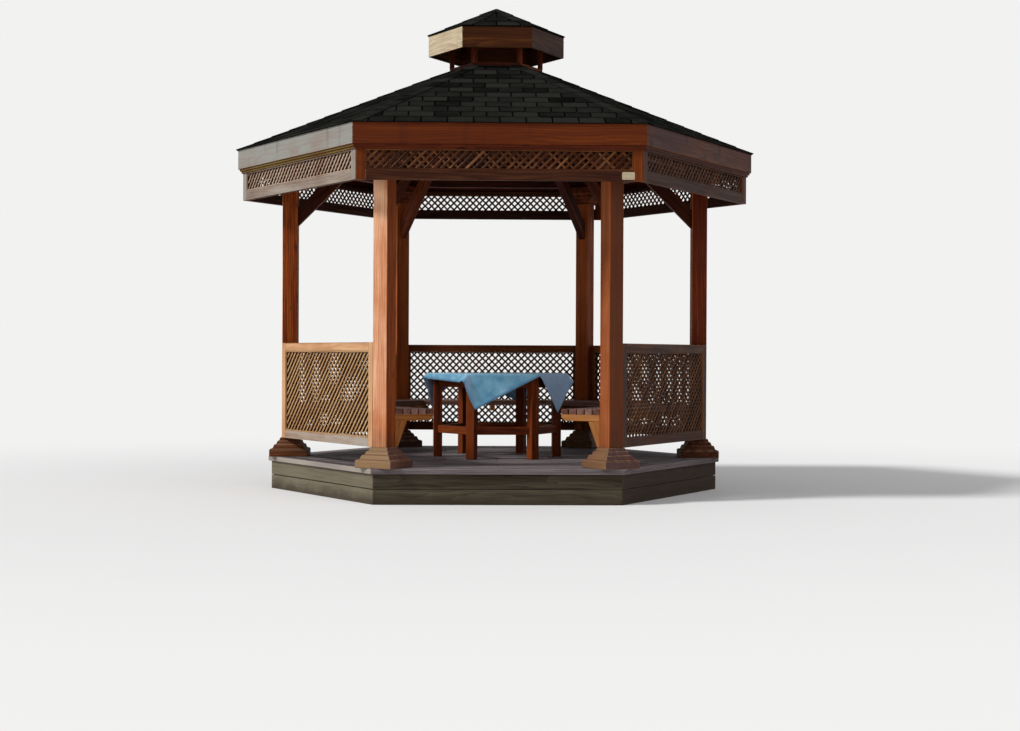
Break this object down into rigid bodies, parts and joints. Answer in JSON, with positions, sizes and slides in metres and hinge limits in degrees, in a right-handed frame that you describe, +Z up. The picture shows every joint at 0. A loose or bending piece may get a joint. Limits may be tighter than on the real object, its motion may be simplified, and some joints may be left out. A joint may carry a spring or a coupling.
{
  "type": "garden gazebo",
  "caption": "Hexagonal wooden garden gazebo with lattice balustrades and friezes, shingled roof and lantern, built-in benches, and a table with a cloth.",
  "frame": {"origin": "on the ground under the apex of the roof", "axes": "+Z up, the open entrance side faces -Y"},
  "size_m": [4.8156, 4.1714, 4.4619],
  "materials": {
    "weathered_boards": "weathered",
    "stained_timber": "oiled",
    "stained_lattice": "oiled",
    "roof_timber": "oiled",
    "shingles": "mineral granules",
    "cloth": "woven"
  },
  "bodies": {
    "root": {"balustrade_foot_rails": "stained_timber", "balustrade_head_rails": "stained_timber", "balustrade_lattice_back": "stained_lattice", "balustrade_lattice_back_left": "stained_lattice", "balustrade_lattice_back_right": "stained_lattice", "balustrade_lattice_front_left": "stained_lattice", "balustrade_lattice_front_right": "stained_lattice", "balustrade_stiles": "stained_timber", "base_lower_boards": "weathered_boards", "base_upper_boards": "weathered_boards", "bench_arms": "stained_timber", "bench_slats": "stained_timber", "bench_struts": "stained_timber", "common_rafters": "roof_timber", "deck_border": "weathered_boards", "deck_floor": "weathered_boards", "eave_moulding": "stained_timber", "fascia_boards": "stained_timber", "floor_joists": "weathered_boards", "frieze_foot_rails": "stained_timber", "frieze_head_rails": "stained_timber", "frieze_lattice_back": "stained_lattice", "frieze_lattice_back_left": "stained_lattice", "frieze_lattice_back_right": "stained_lattice", "frieze_lattice_front": "stained_lattice", "frieze_lattice_front_left": "stained_lattice", "frieze_lattice_front_right": "stained_lattice", "frieze_stiles": "stained_timber", "hip_rafters": "roof_timber", "knee_braces": "stained_timber", "lantern_boss": "roof_timber", "lantern_curb": "stained_timber", "lantern_fascia": "stained_timber", "lantern_plates": "roof_timber", "lantern_posts": "stained_timber", "lantern_rafters": "roof_timber", "lantern_sheathing": "roof_timber", "lantern_shingles": "shingles", "post_capitals": "stained_timber", "post_plinths": "stained_timber", "posts": "stained_timber", "rim_joists": "weathered_boards", "ring_beams": "roof_timber", "roof_sheathing": "roof_timber", "roof_shingles": "shingles", "table_apron": "stained_timber", "table_legs": "stained_timber", "table_stretchers": "stained_timber", "table_top": "stained_timber", "tablecloth": "cloth"}
  },
  "joints": []
}
